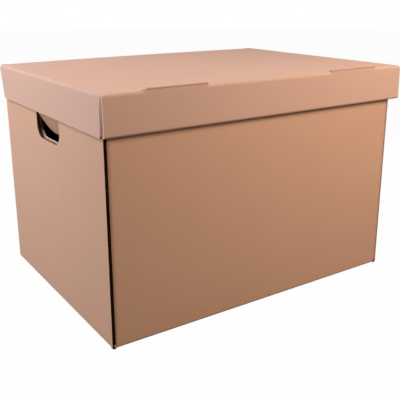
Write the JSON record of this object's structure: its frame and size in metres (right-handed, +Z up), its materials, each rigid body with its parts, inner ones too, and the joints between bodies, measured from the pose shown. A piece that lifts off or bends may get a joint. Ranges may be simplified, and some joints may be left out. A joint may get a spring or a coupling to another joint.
{
  "type": "archive box",
  "caption": "Corrugated cardboard archive box: a folded tray with double ends and hand holes, and a hinged lid whose rolled front skirt locks in slots.",
  "frame": {"origin": "centre of the tray's underside, on the surface that the box stands on", "axes": "+Z up, +X along the box's long side, +Y from the front to the back"},
  "size_m": [0.4634, 0.3382, 0.3057],
  "materials": {
    "kraft_tray": "plain brown kraft corrugated board, matt, with faint upright flute lines",
    "kraft_lid": "plain brown kraft corrugated board, matt, with faint flute lines"
  },
  "bodies": {
    "tray": {"tray": "kraft_tray"},
    "lid": {"lid": "kraft_lid"}
  },
  "joints": [
    {"name": "lid_hinge", "type": "hinge", "parent": "tray", "child": "lid", "pos_m": [0, 0.165, 0.2989], "axis": [-1, 0, 0], "range_deg": [0, 180]}
  ]
}
